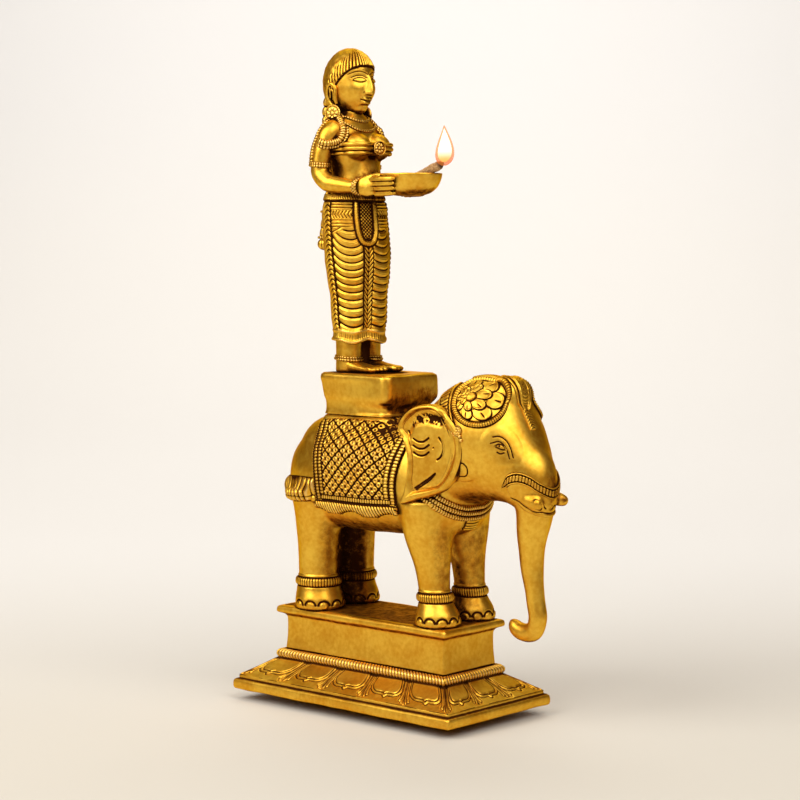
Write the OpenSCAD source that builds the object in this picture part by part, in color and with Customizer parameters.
// Deepalakshmi lamp: a lady with an oil bowl stands on a seat on an elephant's back, on a lotus plinth.
// Millimetres. +Z is up, +X is the way the elephant and the lady face, and z = 0 is the table.

/* [Lotus base] */
// Length of the foot slab
plinth_len = 160; // [145:1:190]
// Width of the foot slab
plinth_wid = 86; // [80:1:110]
// Height of the foot slab
foot_height = 8; // [6:0.5:12]
// Height of the sloping petal skirt
skirt_height = 9.5; // [8:0.5:14]
// How far the petal skirt draws in on every side
skirt_inset = 15; // [11:0.5:17]
// Diameter of the rope bead round the top of the skirt
bead_dia = 5; // [3:0.25:6]
// Thickness of the cast wall of the base
base_wall = 5; // [3:0.25:6]
// Petals along each long side
petals_long = 5; // [3:1:8]
// Petals along each short side
petals_short = 3; // [2:1:5]
// How far a petal stands proud of the skirt
petal_relief = 0.8; // [0.4:0.1:1.2]

/* [Pedestal] */
// Height of the plain block under the slab
dado_height = 20; // [14:0.5:26]
// How far the block stands back from the bead on every side
dado_inset = 4; // [2:0.25:5]
// Thickness of the standing slab
slab_thick = 5; // [4:0.25:9]
// How far the slab reaches out past the block
slab_overhang = 4; // [2:0.25:6]
// Wall of the hollow pedestal
pedestal_wall = 3.5; // [2.5:0.25:4]

/* [Elephant] */
// Length of the body from rump to chest
body_len = 126; // [112:1:136]
// Width of the body
body_wid = 64; // [56:1:70]
// Depth of the body from back to belly
body_depth = 64.5; // [58:0.5:74]
// Height of the belly over the slab
belly_height = 45; // [40:0.5:50]
// Length of the head from nape to brow
head_len = 87; // [80:1:95]
// How far the head laps back over the body
neck_lap = 37; // [30:1:44]
// Height of the head from chin to crown
head_height = 69; // [62:0.5:76]
// Width of the head
head_wid = 54; // [48:1:60]
// Crown of the head over the elephant's back
crown_rise = 23.5; // [18:0.5:30]
// Thickness of the trunk at its root
trunk_root = 25; // [22:0.5:28]
// Distance from the brow's tip back to the trunk's line
trunk_setback = 12; // [9:0.5:15]
// Lowest point of the trunk's middle line over the slab
trunk_low = 0; // [-6:0.5:6]
// How far the trunk's tip curls back
trunk_curl = 14; // [9:0.5:18]
// Diameter of a forefoot
forefoot_dia = 24; // [20:0.5:26]
// Diameter of a hind foot
hindfoot_dia = 25.5; // [22:0.5:27]
// Distance from the forefeet to the hind feet
foot_span = 87; // [78:1:92]
// Distance from left feet to right feet
foot_track = 29; // [26:0.5:31]
// Length of an ear
ear_len = 54; // [44:1:60]
// Width of an ear
ear_wid = 39; // [32:1:44]
// Thickness of an ear
ear_thick = 3.6; // [2.5:0.1:5]
// Length of the saddle cloth along the body
cloth_len = 63; // [50:1:70]
// Height of the cloth's lower edge over the belly
cloth_drop = 16; // [10:0.5:24]
// How far the cloth and the straps stand proud of the body
trapping_relief = 1.4; // [0.8:0.1:2]

/* [Seat] */
// Length of the seat block
seat_len = 51.5; // [44:0.5:58]
// Width of the seat block
seat_wid = 44.5; // [38:0.5:52]
// Height of the seat block
seat_height = 22.5; // [20:0.5:30]
// How far its neck draws in
seat_waist = 3.6; // [2:0.2:6]

/* [Lady] */
// Height of the lady from the soles to the crown
lady_height = 178.5; // [165:0.5:195]
// Width across the hips
lady_wid = 41; // [37:0.5:44]
// Depth through the hips
lady_depth = 34; // [30:0.5:37]
// Distance from the seat's middle back to the lady's middle line
lady_setback = 15; // [12:0.5:17]
// Depth of the drapery folds
fold_depth = 0.9; // [0.4:0.1:1.3]
// Height of one drapery fold
fold_pitch = 8; // [6:0.25:12]
// Radius of the upper arm
arm_radius = 5.7; // [5:0.1:6.4]

/* [Oil bowl] */
// Length of the bowl
bowl_len = 41; // [37:0.5:46]
// Width of the bowl
bowl_wid = 31; // [28:0.5:36]
// Depth of the bowl outside
bowl_depth = 12; // [10.5:0.25:15]
// Thickness of the bowl's wall
bowl_wall = 1.8; // [1.2:0.1:2.4]
// Height of the bowl's rim over the lady's soles
bowl_rim = 108.5; // [106:0.5:111]
// Distance from the lady's middle line to the bowl's back
bowl_reach = 15.5; // [15:0.5:21]
// Diameter of the cotton wick
wick_dia = 4.2; // [3:0.1:5]

/* [Fits] */
// Size of the square peg under the lady
peg_side = 10; // [8:0.25:12]
// Length of the peg in the seat
peg_depth = 12; // [9:0.5:14]
// Clearance round the peg
peg_gap = 0.15; // [0.1:0.05:0.3]
// Clearance between the hands and the bowl
hand_gap = 0.3; // [0.2:0.05:0.5]
// Diameter of the screws
screw_dia = 5; // [4:0.25:6]
// Clearance round screws, pins and studs
screw_gap = 0.1; // [0.05:0.05:0.2]

/* [Hidden] */
$fn = 32;

// Heights of the stack, from the table up
bead_z = foot_height + skirt_height;
base_top = bead_z + bead_dia;
dado_top = base_top + dado_height;
slab_top = dado_top + slab_thick;
belly_z = slab_top + belly_height;
back_z = belly_z + body_depth;
seat_top = back_z + seat_height;

// Plan sizes of the plinth
foot_step = 2.5;
skirt_len = plinth_len - 2 * foot_step;
skirt_wid = plinth_wid - 2 * foot_step;
bead_len = skirt_len - 2 * skirt_inset;
bead_wid = skirt_wid - 2 * skirt_inset;
dado_len = bead_len - 2 * dado_inset;
dado_wid = bead_wid - 2 * dado_inset;

// Places along the elephant
rump_x = -body_len / 2;
nape_x = body_len / 2 - neck_lap;
chin_z = back_z + crown_rise - head_height;
brow_x = nape_x + head_len;
trunk_x = brow_x - trunk_setback;
fore_x = foot_span / 2 + 4;
hind_x = fore_x - foot_span;
hip_z = belly_z + 0.35 * body_depth;
seat_x = -7;
tusk_len = 24;
tusk_x = brow_x - 9;
tusk_y = head_wid * 0.22;
tusk_z = chin_z + 0.2 * head_height;

// The whole part is centred over its own footprint
front_reach = trunk_x + trunk_root / 2;
middle_shift = (plinth_len / 2 - front_reach) / 2;

// Screws, studs and pins
head_dia = 1.6 * screw_dia;
head_height_s = 0.8 * screw_dia;
boss_dia = screw_dia + 7;
boss_x = 22;
boss_y = dado_wid / 2 - pedestal_wall - boss_dia / 2 - 0.5;
stud_dia = 8;
stud_x = seat_x + 11;
stud_half = 10;
peg_shank = 6;
peg_shank_len = 12;
pin_dia = 4;
pin_half = 5;

// The lady's own places
lady_x = seat_x - lady_setback;
bowl_x = lady_x + bowl_reach + bowl_len / 2;
rim_z = seat_top + bowl_rim;
sole_gap = 8;

// Smooth curve through keyed rows: a cubic between keys whose slope at a key is that of its neighbours
function key_index(rows, k, i = 0) =
    (i >= len(rows) - 2 || k < rows[i + 1][0]) ? i : key_index(rows, k, i + 1);
function key_slope(rows, i) =
    let (a = max(i - 1, 0), b = min(i + 1, len(rows) - 1)) (rows[b] - rows[a]) / (rows[b][0] - rows[a][0]);
function at(rows, k) =
    let (i = key_index(rows, k), h = rows[i + 1][0] - rows[i][0], t = (k - rows[i][0]) / h)
    rows[i] * (1 + t * t * (2 * t - 3)) + rows[i + 1] * t * t * (3 - 2 * t)
    + (key_slope(rows, i) * (1 - t) - key_slope(rows, i + 1) * t) * h * t * (1 - t);
function last_key(rows) = rows[len(rows) - 1][0];
function keys(rows, step) = [for (k = [rows[0][0] : step : last_key(rows) + step / 100]) k];

// Rings: an oval with squared shoulders and a rounded rectangle, both turning from the first axis to
// the second
function signed_pow(v, p) = sign(v) * pow(abs(v), p);
function oval(n, a, b, e = 2) =
    [for (i = [0 : n - 1]) [a * signed_pow(cos(360 * i / n), 2 / e), b * signed_pow(sin(360 * i / n),
        2 / e)]];
function round_rect(a, b, r, n = 5) =
    [for (q = [0 : 3], i = [0 : n]) let (t = 90 * (q + i / n), sx = (q == 0 || q == 3) ? 1 : -1,
        sy = q < 2 ? 1 : -1)
        [sx * (a - r) + r * cos(t), sy * (b - r) + r * sin(t)]];
function rect(a, b) = [[a, -b], [a, b], [-a, b], [-a, -b]];

// Closed skin over rings that turn right-handed about the way they are stacked
module skin(rings) {
    n = len(rings[0]);
    m = len(rings);
    sides = [for (i = [0 : m - 2], j = [0 : n - 1]) let (a = i * n + j, b = i * n + (j + 1) % n)
        each [[a, a + n, b + n], [a, b + n, b]]];
    first = [for (j = [0 : n - 1]) j];
    last = [for (j = [0 : n - 1]) m * n - 1 - j];
    polyhedron(points = [for (r = rings) each r], faces = concat([first, last], sides), convexity = 6);
}

// Skin round a path: rows hold the key, the middle point, the half width across and the half height
function unit(v) = v / norm(v);
near = 0.001;
function tube_ring(rows, k, n, up) =
    let (a = at(rows, max(k - near, rows[0][0])), b = at(rows, min(k + near, last_key(rows))),
        c = at(rows, k),
        dir = unit([b[1] - a[1], b[2] - a[2], b[3] - a[3]]), across = unit(cross(up, dir)),
            over = cross(dir, across))
    [for (p = oval(n, c[4], c[5])) [c[1], c[2], c[3]] + across * p[0] + over * p[1]];
module tube(rows, step, n = 12, up = [0, 0, 1]) {
    skin([for (k = keys(rows, step)) tube_ring(rows, k, n, up)]);
}

// Stack of rectangles: each row holds a half length, a half width and a height
module rect_stack(rows) {
    skin([for (r = rows) [for (p = rect(r[0], r[1])) [p[0], p[1], r[2]]]]);
}
module mirrored(both = true) {
    children();
    if (both) mirror([0, 1, 0]) children();
}
module placed() {
    translate([middle_shift, 0, 0]) children();
}

// Lotus petal that hangs from the bead, one wide and one long, with a small point at its foot
petal_outline = [[-0.50, 1.00], [-0.48, 0.55], [-0.34, 0.18], [-0.10, 0.10], [0.00, 0.00], [0.10, 0.10],
    [0.34, 0.18],
    [0.48, 0.55], [0.50, 1.00]];
module petal_row(count, run, half_depth) {
    slope = atan2(skirt_height, skirt_inset);
    slope_len = norm([skirt_height, skirt_inset]);
    pitch = run / count;
    for (i = [0 : count - 1])
        translate([(i - (count - 1) / 2) * pitch, -half_depth, foot_height]) rotate([slope, 0, 0])
            translate([0, 0.24 * slope_len, -1]) linear_extrude(1 + petal_relief)
                polygon([for (p = petal_outline) [0.72 * pitch * p[0], 0.7 * slope_len * p[1]]]);
}
module lotus_base() {
    ledge = 0.3 * foot_height;
    bevel = 1;
    bead = [for (t = [-90 : 30 : 90]) [(cos(t) - 1) * bead_dia / 2, bead_z + (1 + sin(t)) * bead_dia / 2]];
    profile = concat([[-bevel, 0], [0, bevel], [0, foot_height - ledge - bevel], [-bevel,
        foot_height - ledge],
        [-foot_step, foot_height - ledge], [-foot_step, foot_height]],
        [for (p = bead) [-foot_step - skirt_inset + p[0], p[1]]]);
    color([0.80, 0.58, 0.22]) placed() difference() {
        union() {
            rect_stack([for (p = profile) [plinth_len / 2 + p[0], plinth_wid / 2 + p[0], p[1]]]);
            petal_row(petals_long, bead_len, skirt_wid / 2);
            rotate(180) petal_row(petals_long, bead_len, skirt_wid / 2);
            for (turn = [90, 270]) rotate(turn) petal_row(petals_short, bead_wid, skirt_len / 2);
        }
        rect_stack([
            [skirt_len / 2 - base_wall, skirt_wid / 2 - base_wall, -1],
            [skirt_len / 2 - base_wall, skirt_wid / 2 - base_wall, foot_height - base_wall],
            [bead_len / 2 - 2 * base_wall, bead_wid / 2 - 2 * base_wall, base_top - base_wall]]);
        for (sx = [-1, 1], sy = [-1, 1]) translate([sx * boss_x, sy * boss_y, 0])
            cylinder(d = screw_dia + 2 * screw_gap, h = base_top + 1);
    }
}

// Plain block with a slab that flares out over it, hollow from below, with four bosses for the screws
module pedestal() {
    half_slab = [dado_len / 2 + slab_overhang, dado_wid / 2 + slab_overhang];
    cove = 0.35 * slab_thick;
    color([0.82, 0.60, 0.24]) placed() difference() {
        union() {
            difference() {
                rect_stack([
                    [dado_len / 2, dado_wid / 2, base_top],
                    [dado_len / 2, dado_wid / 2, dado_top - cove],
                    [dado_len / 2 + 0.3 * slab_overhang, dado_wid / 2 + 0.3 * slab_overhang, dado_top],
                    [half_slab[0] - 0.5, half_slab[1] - 0.5, dado_top + 0.4 * slab_thick],
                    [half_slab[0], half_slab[1], dado_top + 0.5 * slab_thick],
                    [half_slab[0], half_slab[1], slab_top - 0.15 * slab_thick],
                    [half_slab[0] - 1.2, half_slab[1] - 1.2, slab_top]]);
                rect_stack([
                    [dado_len / 2 - pedestal_wall, dado_wid / 2 - pedestal_wall, base_top - 1],
                    [dado_len / 2 - pedestal_wall, dado_wid / 2 - pedestal_wall, dado_top]]);
            }
            for (sx = [-1, 1], sy = [-1, 1]) translate([sx * boss_x, sy * boss_y, base_top])
                cylinder(d = boss_dia, h = dado_height + 1);
        }
        for (sx = [-1, 1], sy = [-1, 1]) translate([sx * boss_x, sy * boss_y, base_top - 1])
            cylinder(d = screw_dia + 2 * screw_gap, h = 0.8 * dado_height + 1);
        foot_places() translate([0, 0, dado_top - 1]) cylinder(d = screw_dia + 2 * screw_gap,
            h = slab_thick + 2);
    }
}
// Screw with a round head below and a plain shank above, its head seated at z = 0
module screw(length) {
    translate([0, 0, -head_height_s]) cylinder(d = head_dia, h = head_height_s);
    cylinder(d = screw_dia, h = length);
}
module pedestal_screws() {
    color("goldenrod") placed() for (sx = [-1, 1], sy = [-1, 1])
        translate([sx * boss_x, sy * boss_y, base_top - base_wall]) screw(base_wall + 0.7 * dado_height);
}
// The screws stand under the feet, or as near as the pedestal's walls leave room for their heads
screw_room = 0.4;
screw_bite = 9;
module foot_places() {
    most_x = dado_len / 2 - pedestal_wall - head_dia / 2 - screw_room;
    side_y = dado_wid / 2 - pedestal_wall - head_dia / 2 - screw_room;
    for (x = [min(fore_x, most_x), max(hind_x, -most_x)], s = [-1, 1]) translate([x, s * side_y, 0])
        children();
}
foot_screw_len = slab_thick + screw_bite;
module foot_screws() {
    color("goldenrod") placed() foot_places() translate([0, 0, dado_top]) screw(foot_screw_len);
}

// Elephant. Rows of the body: key, place along the length, height of the middle, half width, half depth
body_rows = [[0, 0.000, 0.40, 0.10, 0.12], [1, 0.025, 0.41, 0.46, 0.48], [2, 0.085, 0.44, 0.72, 0.74],
    [3, 0.200, 0.47, 0.89, 0.91], [4, 0.380, 0.50, 0.99, 1.00], [5, 0.580, 0.50, 1.00, 1.00],
    [6, 0.740, 0.50, 0.93, 0.96], [7, 0.870, 0.48, 0.82, 0.88], [8, 0.960, 0.44, 0.58, 0.66],
    [9, 1.000, 0.43, 0.12, 0.15]];
// Rows of the head: key, place along the length, top, underside, half width
head_rows = [[0, 0.00, 0.62, 0.06, 0.80], [1, 0.14, 0.76, 0.02, 0.92], [2, 0.32, 0.92, 0.00, 1.00],
    [3, 0.48, 1.00, 0.04, 1.00], [4, 0.62, 0.98, 0.06, 0.94], [5, 0.73, 0.89, 0.05, 0.82],
    [6, 0.81, 0.74, 0.01, 0.68], [7, 0.89, 0.55, 0.03, 0.51], [8, 0.96, 0.38, 0.08, 0.33],
    [9, 1.00, 0.24, 0.15, 0.08]];
// Rows of a leg: key and height from sole to hip, step forward, radius
fore_rows = [[0.00, 0.06, 0.94], [0.06, 0.06, 0.96], [0.11, 0.03, 0.88], [0.16, -0.04, 0.74],
    [0.23, -0.09, 0.66], [0.45, -0.22, 0.76], [0.70, -0.46, 1.08], [1.00, -0.60, 1.36]];
hind_rows = [[0.00, 0.08, 1.00], [0.06, 0.08, 1.02], [0.11, 0.05, 0.96], [0.16, 0.00, 0.88],
    [0.23, 0.00, 0.85], [0.45, 0.00, 0.87], [0.70, 0.02, 0.99], [1.00, 0.12, 1.32]];
// Outline of an ear from its low rear tip, in widths and lengths
ear_outline = [[0.00, 0.00], [0.36, 0.07], [0.68, 0.17], [0.90, 0.36], [0.94, 0.62], [0.75, 0.84],
    [0.50, 0.99], [0.10, 0.93], [-0.06, 0.74], [0.10, 0.41]];

module body(proud = 0, step = 0.6) {
    skin([for (k = keys(body_rows, step)) let (r = at(body_rows, k))
        [for (p = oval(18, r[3] * body_wid / 2 + proud, r[4] * body_depth / 2 + proud, 2.25))
            [rump_x + r[1] * body_len, p[0], belly_z + r[2] * body_depth + p[1]]]]);
}
module head(proud = 0) {
    skin([for (k = keys(head_rows, 0.75)) let (r = at(head_rows, k))
        [for (p = oval(18, r[4] * head_wid / 2 + proud, (r[2] - r[3]) * head_height / 2 + proud, 2.15))
            [nape_x + r[1] * head_len, p[0], chin_z + (r[2] + r[3]) * head_height / 2 + p[1]]]]);
}
module trunk() {
    low = slab_top + trunk_low;
    rise = chin_z + 0.55 * head_height - low;
    rows = [[0, -14, 1.00, 0.85], [1, -1, 0.83, 1.00], [2, 1.2, 0.66, 0.80], [3, -0.4, 0.49, 0.60],
        [4, -0.2, 0.34, 0.46], [5, 2.2, 0.18, 0.385], [6, 4, 0.085, 0.37]];
    curl = [[7, 0.06, 0.017, 0.375], [8, -0.40, 0, 0.36], [9, -0.86, 0.03, 0.31]];
    radius = trunk_root / 2;
    path = concat(
        [for (r = rows) [r[0], trunk_x + r[1], 0, low + r[2] * rise, radius * r[3], radius * r[3]]],
        [for (r = curl) [r[0], trunk_x + r[1] * trunk_curl, 0, low + r[2] * rise, radius * r[3],
            radius * r[3]]]);
    tube(path, 0.5, 10, [0, 1, 0]);
}
// Rings of a leg: key and share of the anklet's relief
leg_rings = [[0, 0], [0.07, 0], [0.19, 0], [0.2, 1], [0.26, 1], [0.27, 0], [0.42, 0], [0.6, 0], [0.8, 0],
    [1, 0]];
anklet_relief = 1.2;
nail_radius = 2.6;
nail_relief = 0.8;
nail_rise = 0.6;
nail_turn = 42;
module leg(rows, x, dia) {
    height = hip_z - slab_top;
    sole = at(rows, 0.03);
    skin([for (g = leg_rings) let (r = at(rows, g[0]), radius = r[2] * dia / 2 + g[1] * anklet_relief)
        [for (p = oval(12, radius, radius))
            [x + r[1] * dia / 2 + p[0], foot_track / 2 + p[1], slab_top + g[0] * height]]]);
    for (turn = [-nail_turn : nail_turn : nail_turn])
        translate([x + sole[1] * dia / 2, foot_track / 2, slab_top + nail_radius + nail_rise]) rotate([0, 90, turn])
            cylinder(r = nail_radius, h = sole[2] * dia / 2 + nail_relief, $fn = 6);
}

// Closed smooth curve through the corners of an outline
function loop_point(pts, i, t) =
    let (n = len(pts), a = pts[(i + n - 1) % n], b = pts[i], c = pts[(i + 1) % n], d = pts[(i + 2) % n])
    b + (c - a) * t / 2 + (2 * a - 5 * b + 4 * c - d) * t * t / 2 + (3 * b - a - 3 * c + d) * t * t * t / 2;
function loop_curve(pts, per) =
    [for (i = [0 : len(pts) - 1], j = [0 : per - 1]) loop_point(pts, i, j / per)];

// Leaf-shaped ear that stands out from the neck and joins the head at its front edge, with a rim round a
// hollow on its outer face
ear_flare = 7;
ear_rim = 0.8;
ear_hollow = 1.6;
ear_middle = [0.46, 0.52];
ear_field = 0.76;
module ear() {
    hinge = [nape_x + 0.56 * head_len, 2 - head_wid / 2, chin_z + 0.03 * head_height];
    leaf = [for (p = loop_curve(ear_outline, 2)) [(p[0] - 0.94) * ear_wid, p[1] * ear_len]];
    middle = [(ear_middle[0] - 0.94) * ear_wid, ear_middle[1] * ear_len];
    translate(hinge) rotate([90, 0, ear_flare]) difference() {
        linear_extrude(ear_thick + ear_rim) polygon(leaf);
        translate([0, 0, ear_thick + ear_rim - ear_hollow]) linear_extrude(ear_hollow + 1)
            polygon([for (p = leaf) middle + ear_field * (p - middle)]);
    }
}

// Cloth over the back, cut straight along its lower edge, with a raised border round a lattice of grooves
cloth_x = 2.5;
border_wid = 7;
border_relief = 0.8;
cloth_step = 1;
lattice_pitch = 14;
lattice_tilt = 48;
lattice_groove = 1.6;
module cloth_area(inset) {
    translate([cloth_x - cloth_len / 2 + inset, -body_wid, belly_z + cloth_drop + inset])
        cube([cloth_len - 2 * inset, 2 * body_wid, body_depth]);
}
module lattice() {
    for (turn = [-lattice_tilt, lattice_tilt], i = [-1 : 1])
        translate([cloth_x + i * lattice_pitch, 0, belly_z + 0.536 * body_depth]) rotate([0, turn, 0])
            cube([lattice_groove, 2 * body_wid, 2 * body_depth], center = true);
}
module saddle_cloth() {
    difference() {
        intersection() {
            body(trapping_relief + 0.5 * border_relief, cloth_step);
            cloth_area(border_wid - 1);
        }
        lattice();
    }
    intersection() {
        body(trapping_relief + border_relief, cloth_step);
        difference() {
            cloth_area(0);
            cloth_area(border_wid);
        }
    }
}

// Round cap on each side of the crown: a raised rim with a boss in its middle
cap_place = [nape_x + 0.63 * head_len, -0.285 * head_wid, chin_z + 0.865 * head_height];
cap_dir = unit([0.24, -0.68, 0.69]);
cap_radius = 17.2;
cap_rim = 3.4;
cap_boss = 6;
module facing(dir) {
    rotate([0, acos(dir[2]), atan2(dir[1], dir[0])]) children();
}
module cap() {
    intersection() {
        head(trapping_relief);
        translate(cap_place) facing(cap_dir) difference() {
            cylinder(r = cap_radius, h = cap_radius, center = true, $fn = 12);
            cylinder(r = cap_radius - cap_rim, h = cap_radius + 1, center = true, $fn = 12);
        }
    }
    translate(cap_place) facing(cap_dir)
        cylinder(r1 = cap_boss, r2 = cap_boss / 2, h = trapping_relief, $fn = 8);
}
// Band across the brow over the tusks
brow_band = 4.5;
module brow_strap() {
    intersection() {
        head(trapping_relief);
        translate([nape_x + 0.72 * head_len, -head_wid, chin_z + 0.27 * head_height]) rotate([0, 16, 0])
            cube([head_len, 2 * head_wid, brow_band]);
    }
}
// Collar round the chest
collar_tilt = -30;
collar_wid = 8;
module collar() {
    intersection() {
        body(trapping_relief);
        translate([fore_x, -body_wid, belly_z + 0.3 * body_depth]) rotate([0, collar_tilt, 0])
            cube([body_len, 2 * body_wid, collar_wid]);
    }
}
// Roll of the crupper round the rump, between the rear edges of the cloth
module crupper() {
    intersection() {
        body(crupper_relief);
        translate([rump_x - crupper_relief - 1, -body_wid, belly_z + crupper_drop])
            cube([crupper_len, 2 * body_wid, crupper_wid]);
    }
}
crupper_relief = 3.4;
crupper_drop = 11;
crupper_wid = 15;
crupper_len = 24;
module tusk() {
    hull() {
        translate([tusk_x, tusk_y, tusk_z]) sphere(r = tusk_radius, $fn = 8);
        translate([tusk_x + 0.3 * tusk_len, tusk_y + 0.14 * tusk_len, tusk_z - 0.4 * tusk_len])
            sphere(r = tusk_radius / 2, $fn = 8);
    }
}
tusk_radius = 4.2;
// Tail that lies along the rump and ends in a tuft
module tail() {
    rows = [[0, 7, 0.78, 2.4], [1, -1, 0.62, 2.4], [2, -1.3, 0.37, 2], [3, 0, 0.12, 1.8], [4, 2, -0.03, 3.4],
        [5, 2.5, -0.15, 1.2]];
    tube([for (r = rows) [r[0], rump_x + r[1], 0, belly_z + r[2] * body_depth, r[3], r[3]]], 1, 8, [0, 1, 0]);
}
// Flat pad on the back that the seat block stands on
seat_foot = [seat_len / 2 - 0.6 * seat_waist, seat_wid / 2 - 0.6 * seat_waist];
seat_corner = 4;
module seat_pad() {
    skin([for (r = [[3, -18], [2, -9], [0.8, -3], [0.5, 0]])
        [for (p = round_rect(seat_foot[0] + r[0], seat_foot[1] + r[0], seat_corner)) [seat_x + p[0], p[1],
            back_z + r[1]]]]);
}
module elephant() {
    color([0.86, 0.64, 0.27]) placed() difference() {
        union() {
            body();
            head();
            trunk();
            saddle_cloth();
            brow_strap();
            collar();
            crupper();
            tail();
            seat_pad();
            mirrored() {
                leg(fore_rows, fore_x, forefoot_dia);
                leg(hind_rows, hind_x, hindfoot_dia);
                tusk();
            }
            for (side = [0, 1]) mirror([0, side, 0]) {
                ear();
                cap();
            }
        }
        translate([seat_x, 0, back_z + seat_height]) cube([seat_len + 1, seat_wid + 1, 2 * seat_height],
            center = true);
        translate([stud_x, 0, back_z - stud_half - 1]) cylinder(d = stud_dia + 2 * screw_gap,
            h = stud_half + 2);
        foot_places() translate([0, 0, slab_top - 1]) cylinder(d = screw_dia + 2 * screw_gap,
            h = foot_screw_len - slab_thick + 2);
    }
}

// Seat block: an upright rim over a drawn-in neck, with a square socket above and a stud hole below
module seat_block() {
    rows = [[-0.6, -0.6, 0], [-0.85, -0.85, 0.08], [-1, -0.8, 0.2], [-0.85, -0.3, 0.34], [-0.55, 0, 0.46],
        [-0.2, 0, 0.76], [0, 0, 0.9], [-0.05, -0.05, 0.96], [-0.25, -0.25, 1]];
    color([0.84, 0.62, 0.26]) placed() difference() {
        skin([for (r = rows)
            [for (p = round_rect(seat_len / 2 + r[0] * seat_waist, seat_wid / 2 + r[0] * seat_waist,
                seat_corner))
                [seat_x + p[0] + (p[0] > 0 ? (r[1] - r[0]) * seat_waist : 0), p[1],
                    back_z + r[2] * seat_height]]]);
        translate([lady_x + peg_forward, 0, seat_top]) cube([peg_side + 2 * peg_gap, peg_side + 2 * peg_gap,
            2 * (peg_depth + 1)], center = true);
        translate([stud_x, 0, back_z - 1]) cylinder(d = stud_dia + 2 * screw_gap, h = stud_half + 2);
    }
}
peg_forward = 2;
module seat_stud() {
    color("goldenrod") placed() translate([stud_x, 0, back_z - stud_half]) cylinder(d = stud_dia,
        h = 2 * stud_half);
}

// Lady. Rows of the skirt and of the bare body: height, step forward, half depth, half width
skirt_rows = [[0.098, 0.00, 0.80, 0.80], [0.115, 0.00, 0.77, 0.78], [0.145, 0.00, 0.74, 0.76],
    [0.23, -0.01, 0.86, 0.86], [0.34, -0.03, 1.00, 0.98], [0.42, -0.06, 1.00, 1.00],
    [0.50, -0.09, 0.94, 0.97], [0.538, -0.10, 0.82, 0.84]];
waist_rows = [[0.520, -0.10, 0.80, 0.80], [0.545, -0.08, 0.78, 0.66], [0.59, -0.05, 0.78, 0.63],
    [0.63, -0.06, 0.75, 0.65], [0.67, -0.09, 0.72, 0.76], [0.72, -0.13, 0.64, 0.88],
    [0.755, -0.14, 0.52, 0.80], [0.78, -0.15, 0.40, 0.52], [0.80, -0.16, 0.33, 0.29],
    [0.85, -0.17, 0.34, 0.28]];
leg_angle = 40;
leg_spread = 46;
fold_sag = 9;
function drape(a, z) = let (d = (abs(a) - leg_angle) / leg_spread, w = max(0, 1 - d * d))
    fold_depth * w * sin(360 * (z + fold_sag * w) / fold_pitch);
function half_turn(i, n) = let (a = 360 * i / n) a > 180 ? a - 360 : a;
function on_skirt(k, a, proud) = let (r = at(skirt_rows, k))
    [lady_x + r[1] * lady_depth + (r[2] * lady_depth / 2 + proud) * cos(a),
        (r[3] * lady_wid / 2 + proud) * sin(a), seat_top + k * lady_height];
module skirt() {
    n = 24;
    skin([for (k = keys(skirt_rows, 0.0176)) let (edge = k < hem_key || k > belt_key)
        [for (i = [0 : n - 1]) let (a = half_turn(i, n))
            on_skirt(k, a, edge ? band_relief : drape(a, k * lady_height))]]);
}
// Hem and belt of the skirt, as heights, with the plaited band down its front and the looped sash
hem_key = 0.12;
belt_key = 0.51;
band_relief = 1.1;
band_turn = -20;
band_half = 9;
sash_half = 23;
sash_drop = 0.129;
sash_radius = 1.5;
module skirt_bands() {
    skin([for (k = [hem_key : 0.13 : belt_key + 0.001])
        [for (p = [[-1, -1], [-1, 1], [1, 1], [1, -1]])
            on_skirt(k, band_turn + p[0] * band_half, p[1] * band_relief)]]);
    tube([for (i = [0 : 6]) let (t = 30 * i)
        concat(i, on_skirt(belt_key - sash_drop * pow(sin(t), 0.6), band_turn - sash_half * cos(t), 0.6),
            sash_radius, sash_radius)], 1, 6, [1, 0, 0]);
}
// Rows of the breast band stand out from the bare body
breast_keys = [0.65, 0.69];
function breast_band(k) = k > breast_keys[0] && k < breast_keys[1] ? band_relief : 0;
module bare_body() {
    skin([for (k = keys(waist_rows, 0.0275)) let (r = at(waist_rows, k), proud = breast_band(k))
        [for (p = oval(20, r[2] * lady_depth / 2 + proud, r[3] * lady_wid / 2 + proud, 2.2))
            [lady_x + r[1] * lady_depth + p[0], p[1], seat_top + k * lady_height]]]);
    mirrored() translate([lady_x + 0.2 * lady_depth, 0.195 * lady_wid, seat_top + 0.692 * lady_height])
        sphere(r = breast_radius, $fn = 10);
}
breast_radius = 8.2;
// Egg-shaped head with a cap of hair, a nose, a chin, ear discs and a long plait with a ball at its end
face_x = lady_x - 0.2 * lady_depth;
face_z = seat_top + 0.905 * lady_height;
head_half = [14.6, 12.6, 0.095 * lady_height];
module lady_head() {
    translate([face_x, 0, face_z]) {
        egg(head_half);
        translate([-1.6, 0, 1]) difference() {
            egg(head_half + [0.4, 1, -0.2], 20, strand_relief);
            translate([head_half[0] * 1.25, 0, -head_half[2] * 0.75]) rotate([90, 0, 0])
                cylinder(r = head_half[0] * 1.45, h = 3 * head_half[1], center = true, $fn = 16);
        }
        jaw();
        hull() {
            translate([head_half[0] - 0.8, 0, 2]) sphere(r = 1.2, $fn = 8);
            translate([head_half[0] + 0.4, 0, -3]) sphere(r = 1.6, $fn = 8);
        }
        mirrored() translate([-1, head_half[1] - 0.6, -7]) rotate([-90, 0, 0])
            cylinder(r = ear_disc, h = 2, $fn = 16);
    }
}
ear_disc = 4.6;
strand_relief = 0.4;
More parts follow.
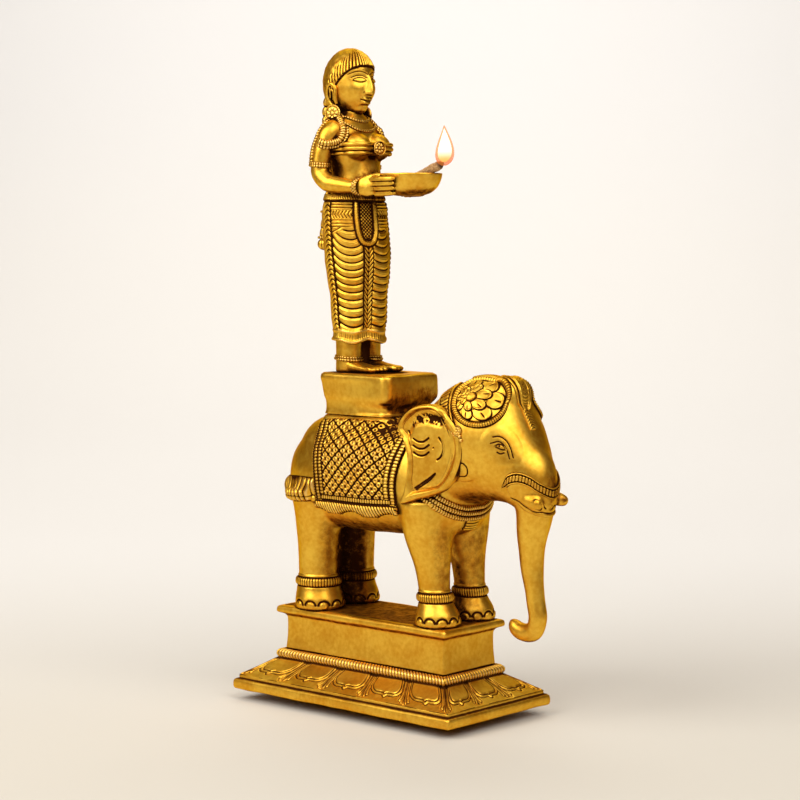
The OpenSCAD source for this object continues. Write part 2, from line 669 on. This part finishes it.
module jaw() {
    hull() {
        translate([0.45 * head_half[0], 0, -0.45 * head_half[2]]) sphere(r = 0.55 * head_half[1], $fn = 10);
        translate([0.7 * head_half[0], 0, -0.84 * head_half[2]]) sphere(r = 0.22 * head_half[1], $fn = 8);
    }
}
// Egg whose sides may be ridged like combed strands
module egg(half, n = 16, ridge = 0) {
    skin([for (t = [-80 : 20 : 80]) let (ring = oval(n, half[0] * cos(t), half[1] * cos(t)))
        [for (i = [0 : n - 1]) let (p = ring[i], grow = ridge * (i % 2 == 0 ? 1 : -1) * cos(t))
            [p[0] + grow * cos(360 * i / n), p[1] + grow * sin(360 * i / n), half[2] * sin(t)]]]);
}
// Plait whose width swells at every twist
twist_swell = 0.12;
twist_step = 1 / 3;
module plait() {
    back = lady_x - 0.6 * lady_depth;
    tip = [back - 6.5, 0, seat_top + 0.395 * lady_height];
    rows = [[0, face_x - 0.55 * head_half[0], 0, face_z - 2, 9, 5],
        [1, back, 0, seat_top + 0.78 * lady_height, 7, 4],
        [2, back + 1.5, 0, seat_top + 0.62 * lady_height, 4, 3.2],
        [3, back - 3, 0, seat_top + 0.5 * lady_height, 3.4, 2.8], [4, tip[0], 0, tip[2] + 2, 2.6, 2.4]];
    swollen = [for (k = keys(rows, twist_step)) let (r = at(rows, k), g = 1 + twist_swell * cos(540 * k))
        [k, r[1], r[2], r[3], r[4] * g, r[5] * g]];
    tube(swollen, twist_step, 8, [0, 1, 0]);
    translate(tip) sphere(r = plait_ball, $fn = 10);
}
plait_ball = 3.4;
// Bare feet with five toes each, the ankles, and the web between them that takes the peg
sole_len = 32;
heel_back = 7;
web_len = 14;
module bare_foot() {
    heel = lady_x - heel_back;
    rows = [[0, 0.00, 0.10, 0.25], [1, 0.08, 0.36, 0.40], [2, 0.30, 0.46, 0.42], [3, 0.55, 0.30, 0.46],
        [4, 0.80, 0.20, 0.50], [5, 0.92, 0.10, 0.44]];
    skin([for (k = keys(rows, 1)) let (r = at(rows, k))
        [for (p = oval(10, r[3] * sole_wid, r[2] * sole_len / 2)) [heel + r[1] * sole_len,
            sole_gap + p[0], seat_top + 1 + p[1]]]]);
    for (i = [-2 : 2])
        translate([heel + (0.91 - 0.012 * i * i) * sole_len, sole_gap + i * sole_wid * 0.2, seat_top + 1])
            rotate([0, 90, 0])
                cylinder(r1 = toe_radius, r2 = 0.6 * toe_radius, h = toe_len, center = true, $fn = 6);
    translate([lady_x, sole_gap, seat_top])
        cylinder(r1 = ankle_radius, r2 = 0.9 * ankle_radius, h = 0.13 * lady_height, $fn = 12);
    translate([lady_x, sole_gap, seat_top + 0.05 * lady_height])
        cylinder(r = ankle_radius + 1, h = lady_anklet, $fn = 12);
}
sole_wid = 11;
toe_radius = 1.6;
toe_len = 5;
ankle_radius = 6.2;
lady_anklet = 3;
module lady() {
    color([0.87, 0.65, 0.28]) placed() difference() {
        union() {
            skirt();
            skirt_bands();
            bare_body();
            lady_head();
            plait();
            mirrored() {
                bare_foot();
                upper_arm();
            }
            translate([lady_x + peg_forward - web_len / 2, -sole_gap, seat_top])
                cube([web_len, 2 * sole_gap, 0.14 * lady_height]);
        }
        translate([lady_x, 0, seat_top - seat_height]) cube([3 * lady_depth, 3 * lady_wid,
            2 * seat_height], center = true);
        translate([lady_x + peg_forward, 0, seat_top - 1]) cylinder(d = peg_shank + 2 * screw_gap,
            h = peg_shank_len + 2);
        mirrored() elbow_place() translate([0, 0, -3 * elbow_lap]) cylinder(r = 1.1 * arm_radius,
            h = 3 * elbow_lap);
        mirrored() elbow_place() cylinder(d = pin_dia + 2 * screw_gap, h = 2 * pin_half + 2, center = true);
    }
}
module lady_peg() {
    color("goldenrod") placed() translate([lady_x + peg_forward, 0, seat_top]) {
        translate([0, 0, -peg_depth / 2]) cube([peg_side, peg_side, peg_depth], center = true);
        cylinder(d = peg_shank, h = peg_shank_len);
    }
}

// Arms: the upper arm belongs to the lady, and the forearm is pinned to it just over the elbow
elbow_joint = [lady_x - 0.295 * lady_depth, 0.495 * lady_wid, seat_top + 0.637 * lady_height];
elbow_dir = unit([0.09, -0.03, 1]);
elbow_lap = 1;
module elbow_place() {
    translate(elbow_joint) facing(elbow_dir) children();
}
function arm_row(k, p, ra, rb) = [k, p[0], p[1], p[2], ra * arm_radius, rb * arm_radius];
module upper_arm() {
    neck_side = [lady_x - 0.14 * lady_depth, 0.16 * lady_wid, seat_top + 0.752 * lady_height];
    shoulder = [lady_x - 0.17 * lady_depth, 0.40 * lady_wid, seat_top + 0.735 * lady_height];
    tube([arm_row(-1, neck_side, 0.8, 0.8), arm_row(0, shoulder, 1.05, 1.05),
        arm_row(1, elbow_joint + [3, 0, 12], 1.02, 1.05), arm_row(2, elbow_joint + 6 * elbow_dir, 1, 1),
        arm_row(3, elbow_joint - elbow_lap * elbow_dir, 0.95, 0.95)], 0.5, 10, [1, 0, 0]);
}
wrist = [bowl_x - 0.56 * bowl_len, 0.58 * bowl_wid, rim_z - 0.6 * bowl_depth];
knuckle = [bowl_x - 0.3 * bowl_len, 0.54 * bowl_wid, rim_z - 0.6 * bowl_depth];
module forearm() {
    elbow = elbow_joint - 9 * elbow_dir;
    difference() {
        union() {
            tube([arm_row(0, elbow_joint + elbow_lap * elbow_dir, 0.95, 0.95),
                arm_row(1, elbow_joint - 4 * elbow_dir, 0.95, 0.95),
                arm_row(2, elbow + [3, 0, -0.6], 0.95, 0.9),
                arm_row(3, (2 * elbow + wrist) / 3 + [1, 0, -0.8], 0.85, 0.85),
                arm_row(4, (elbow + 2 * wrist) / 3 + [0, 0, -0.4], 0.75, 0.75), arm_row(5, wrist, 0.62, 0.6),
                arm_row(6, (wrist + knuckle) / 2, 0.85, 0.55), arm_row(7, knuckle, 0.8, 0.45)], 0.5, 9,
                [0, 1, 0]);
            fingers();
        }
        bowl_outside(hand_gap);
        elbow_place() cylinder(r = 2 * arm_radius, h = 3 * elbow_lap);
        elbow_place() cylinder(d = pin_dia + 2 * screw_gap, h = 2 * pin_half + 2, center = true);
    }
}
// Four fingers of two joints each along the bowl's side, one under the other, and a thumb below the rim
finger_side = [0.55, 0.52, 0.47, 0.39];
module fingers() {
    for (i = [0 : 3]) {
        side = finger_side[i] * bowl_wid;
        z = rim_z - (0.27 + 0.21 * i) * bowl_depth;
        joints = [[knuckle[0], 0.95 * side, z], [bowl_x - 0.08 * bowl_len, 1.02 * side, z],
            [bowl_x + (0.14 - 0.03 * i) * bowl_len, 0.97 * side, z + 0.3]];
        for (j = [0 : 1]) hull() {
            translate(joints[j]) sphere(r = finger_radius, $fn = 5);
            translate(joints[j + 1]) sphere(r = finger_radius - 0.3 * j, $fn = 5);
        }
    }
    hull() {
        translate(wrist + [3, -0.5, 2]) sphere(r = finger_radius + 0.3, $fn = 6);
        translate([knuckle[0] + 3, 0.47 * bowl_wid, rim_z - 0.15 * bowl_depth])
            sphere(r = finger_radius - 0.2, $fn = 6);
    }
}
finger_radius = 2.2;
module right_forearm() {
    color([0.87, 0.65, 0.28]) placed() mirror([0, 1, 0]) forearm();
}
module left_forearm() {
    color([0.87, 0.65, 0.28]) placed() forearm();
}
module elbow_pins() {
    color("goldenrod") placed() {
        elbow_place() cylinder(d = pin_dia, h = 2 * pin_half, center = true);
        mirror([0, 1, 0]) elbow_place() cylinder(d = pin_dia, h = 2 * pin_half, center = true);
    }
}

// Bowl: rows of the outside as shares of the plan and of the depth
bowl_rows = [[0.34, 0.00], [0.56, 0.05], [0.74, 0.17], [0.87, 0.38], [0.95, 0.65], [1.00, 0.92]];
bowl_sides = 24;
lift_room = 30;
function bowl_ring(share, z, grow) =
    [for (p = oval(bowl_sides, share * bowl_len / 2 + grow, share * bowl_wid / 2 + grow,
        2.1)) [bowl_x + p[0], p[1], z]];
module bowl_outside(grow) {
    foot = rim_z - bowl_depth;
    skin(concat([for (r = bowl_rows) bowl_ring(r[0], foot + r[1] * bowl_depth - grow, grow)],
        [bowl_ring(1, rim_z + lift_room, grow)]));
}
module oil_bowl() {
    foot = rim_z - bowl_depth;
    inside = [for (i = [len(bowl_rows) - 1 : -1 : 1]) bowl_rows[i]];
    color([0.85, 0.63, 0.27]) placed() skin(concat(
        [for (r = bowl_rows) bowl_ring(r[0], foot + r[1] * bowl_depth, 0)],
        [bowl_ring(1, rim_z - 0.3, -0.3), bowl_ring(1, rim_z, -0.45 * bowl_wall)],
        [for (r = inside) bowl_ring(r[0], foot + bowl_wall + r[1] * (bowl_depth - bowl_wall) * 0.96,
            -bowl_wall)]));
}
// Cotton wick that lies straight from the bowl's floor over its front lip and turns up beyond it
lip_gap = 0.3;
module wick() {
    lip = [bowl_x + bowl_len / 2 - bowl_wall / 2, 0, rim_z + wick_dia / 2 + lip_gap];
    low = [bowl_x - 0.26 * bowl_len, 0, rim_z - 0.55 * bowl_depth];
    along = unit(lip - low);
    path = [[0, low, 1], [1, (low + lip) / 2, 1], [2, lip, 1], [2.2, lip + 2 * along, 0.97],
        [2.5, lip + 4.5 * along + [0, 0, 1], 0.8], [2.8, lip + 5 * along + [0, 0, 3.5], 0.5]];
    color([0.48, 0.33, 0.20]) placed()
        tube([for (p = path) concat([p[0]], p[1], [p[2] * wick_dia / 2, p[2] * wick_dia / 2])], 0.4, 8,
            [0, 1, 0]);
}

lotus_base();
pedestal();
pedestal_screws();
elephant();
foot_screws();
seat_block();
seat_stud();
lady();
lady_peg();
right_forearm();
left_forearm();
elbow_pins();
oil_bowl();
wick();
